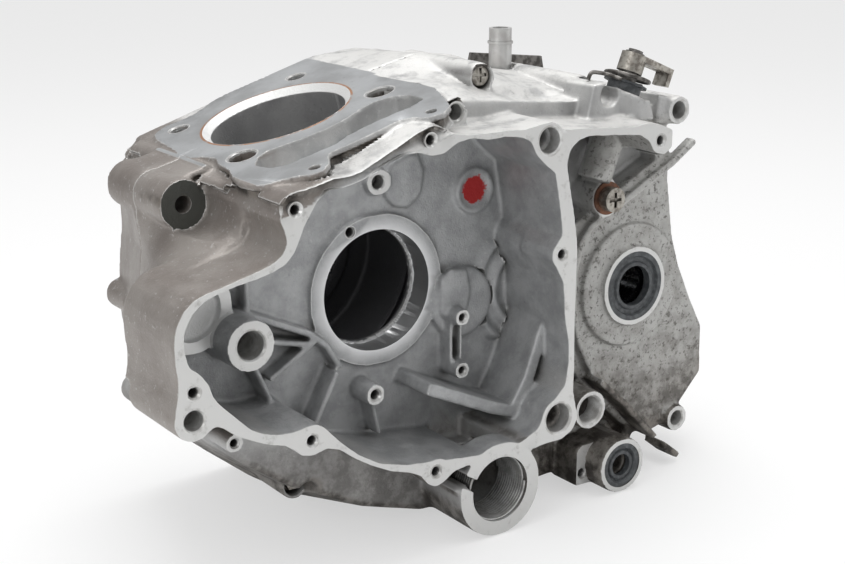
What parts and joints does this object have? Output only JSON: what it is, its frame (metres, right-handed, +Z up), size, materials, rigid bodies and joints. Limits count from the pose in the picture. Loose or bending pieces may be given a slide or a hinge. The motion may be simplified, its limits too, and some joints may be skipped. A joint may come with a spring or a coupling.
{
  "type": "engine crankcase",
  "caption": "Single-cylinder motorcycle engine crankcase, cast halves bolted together with bearings, seals and the clutch release lever, covers and cylinder off.",
  "frame": {"origin": "centre of the empty main bearing seat in the left half, at the seat's outer face", "axes": "+X to the rear of the engine, +Y across from the generator side to the clutch side, +Z up"},
  "size_m": [0.4095, 0.186, 0.2804],
  "materials": {
    "cast_aluminium": "rough cast, machined on the joint faces",
    "bearing_steel": "ground",
    "cage_steel": "pressed",
    "seal_rubber": "moulded",
    "zinc_steel": "dull zinc",
    "copper": "tarnished",
    "dark_steel": "oily",
    "nipple_steel": "turned"
  },
  "bodies": {
    "case": {"left_case_half": "cast_aluminium", "right_case_half": "cast_aluminium", "output_shaft_seal": "seal_rubber", "shift_shaft_seal": "seal_rubber", "bearing_plate": "zinc_steel", "plate_screws": "zinc_steel", "case_screws": "zinc_steel", "split_dowels": "bearing_steel", "gallery_washer": "copper", "gallery_screw": "zinc_steel", "breather_nipple": "nipple_steel", "release_dust_seal": "seal_rubber", "release_spring": "dark_steel", "main_bearing_outer_ring": "bearing_steel", "output_bearing_outer_ring": "bearing_steel", "input_bearing_outer_ring": "bearing_steel"},
    "release": {"release_shaft": "dark_steel", "release_arm": "zinc_steel"},
    "main_ring": {"main_bearing_inner_ring": "bearing_steel"},
    "main_balls": {"main_bearing_cage": "cage_steel", "main_bearing_balls": "bearing_steel"},
    "output_ring": {"output_bearing_inner_ring": "bearing_steel"},
    "output_balls": {"output_bearing_cage": "cage_steel", "output_bearing_balls": "bearing_steel"},
    "input_ring": {"input_bearing_inner_ring": "bearing_steel"},
    "input_balls": {"input_bearing_cage": "cage_steel", "input_bearing_balls": "bearing_steel"}
  },
  "joints": [
    {"name": "release_turn", "type": "hinge", "parent": "case", "child": "release", "pos_m": [0.167, -0.014, 0.092], "axis": [0.3746, 0, 0.9272], "range_deg": [0, 28], "stiffness_Nm_per_rad": 0.4, "springref_deg": -11.46},
    {"name": "main_spin", "type": "hinge", "parent": "case", "child": "main_ring", "pos_m": [0, 0.1105, 0], "axis": [0, 1, 0], "continuous": true},
    {"name": "main_balls_spin", "type": "hinge", "parent": "case", "child": "main_balls", "pos_m": [0, 0.1105, 0], "axis": [0, 1, 0], "continuous": true},
    {"name": "output_spin", "type": "hinge", "parent": "case", "child": "output_ring", "pos_m": [0.181, -0.0025, -0.022], "axis": [0, 1, 0], "continuous": true},
    {"name": "output_balls_spin", "type": "hinge", "parent": "case", "child": "output_balls", "pos_m": [0.181, -0.0025, -0.022], "axis": [0, 1, 0], "continuous": true},
    {"name": "input_spin", "type": "hinge", "parent": "case", "child": "input_ring", "pos_m": [0.118, 0.1085, 0.008], "axis": [0, 1, 0], "continuous": true},
    {"name": "input_balls_spin", "type": "hinge", "parent": "case", "child": "input_balls", "pos_m": [0.118, 0.1085, 0.008], "axis": [0, 1, 0], "continuous": true}
  ],
  "couplings": [
    {"joint": "main_balls_spin", "follows": "main_spin", "ratio": 0.393},
    {"joint": "output_balls_spin", "follows": "output_spin", "ratio": 0.391},
    {"joint": "input_balls_spin", "follows": "input_spin", "ratio": 0.391}
  ]
}
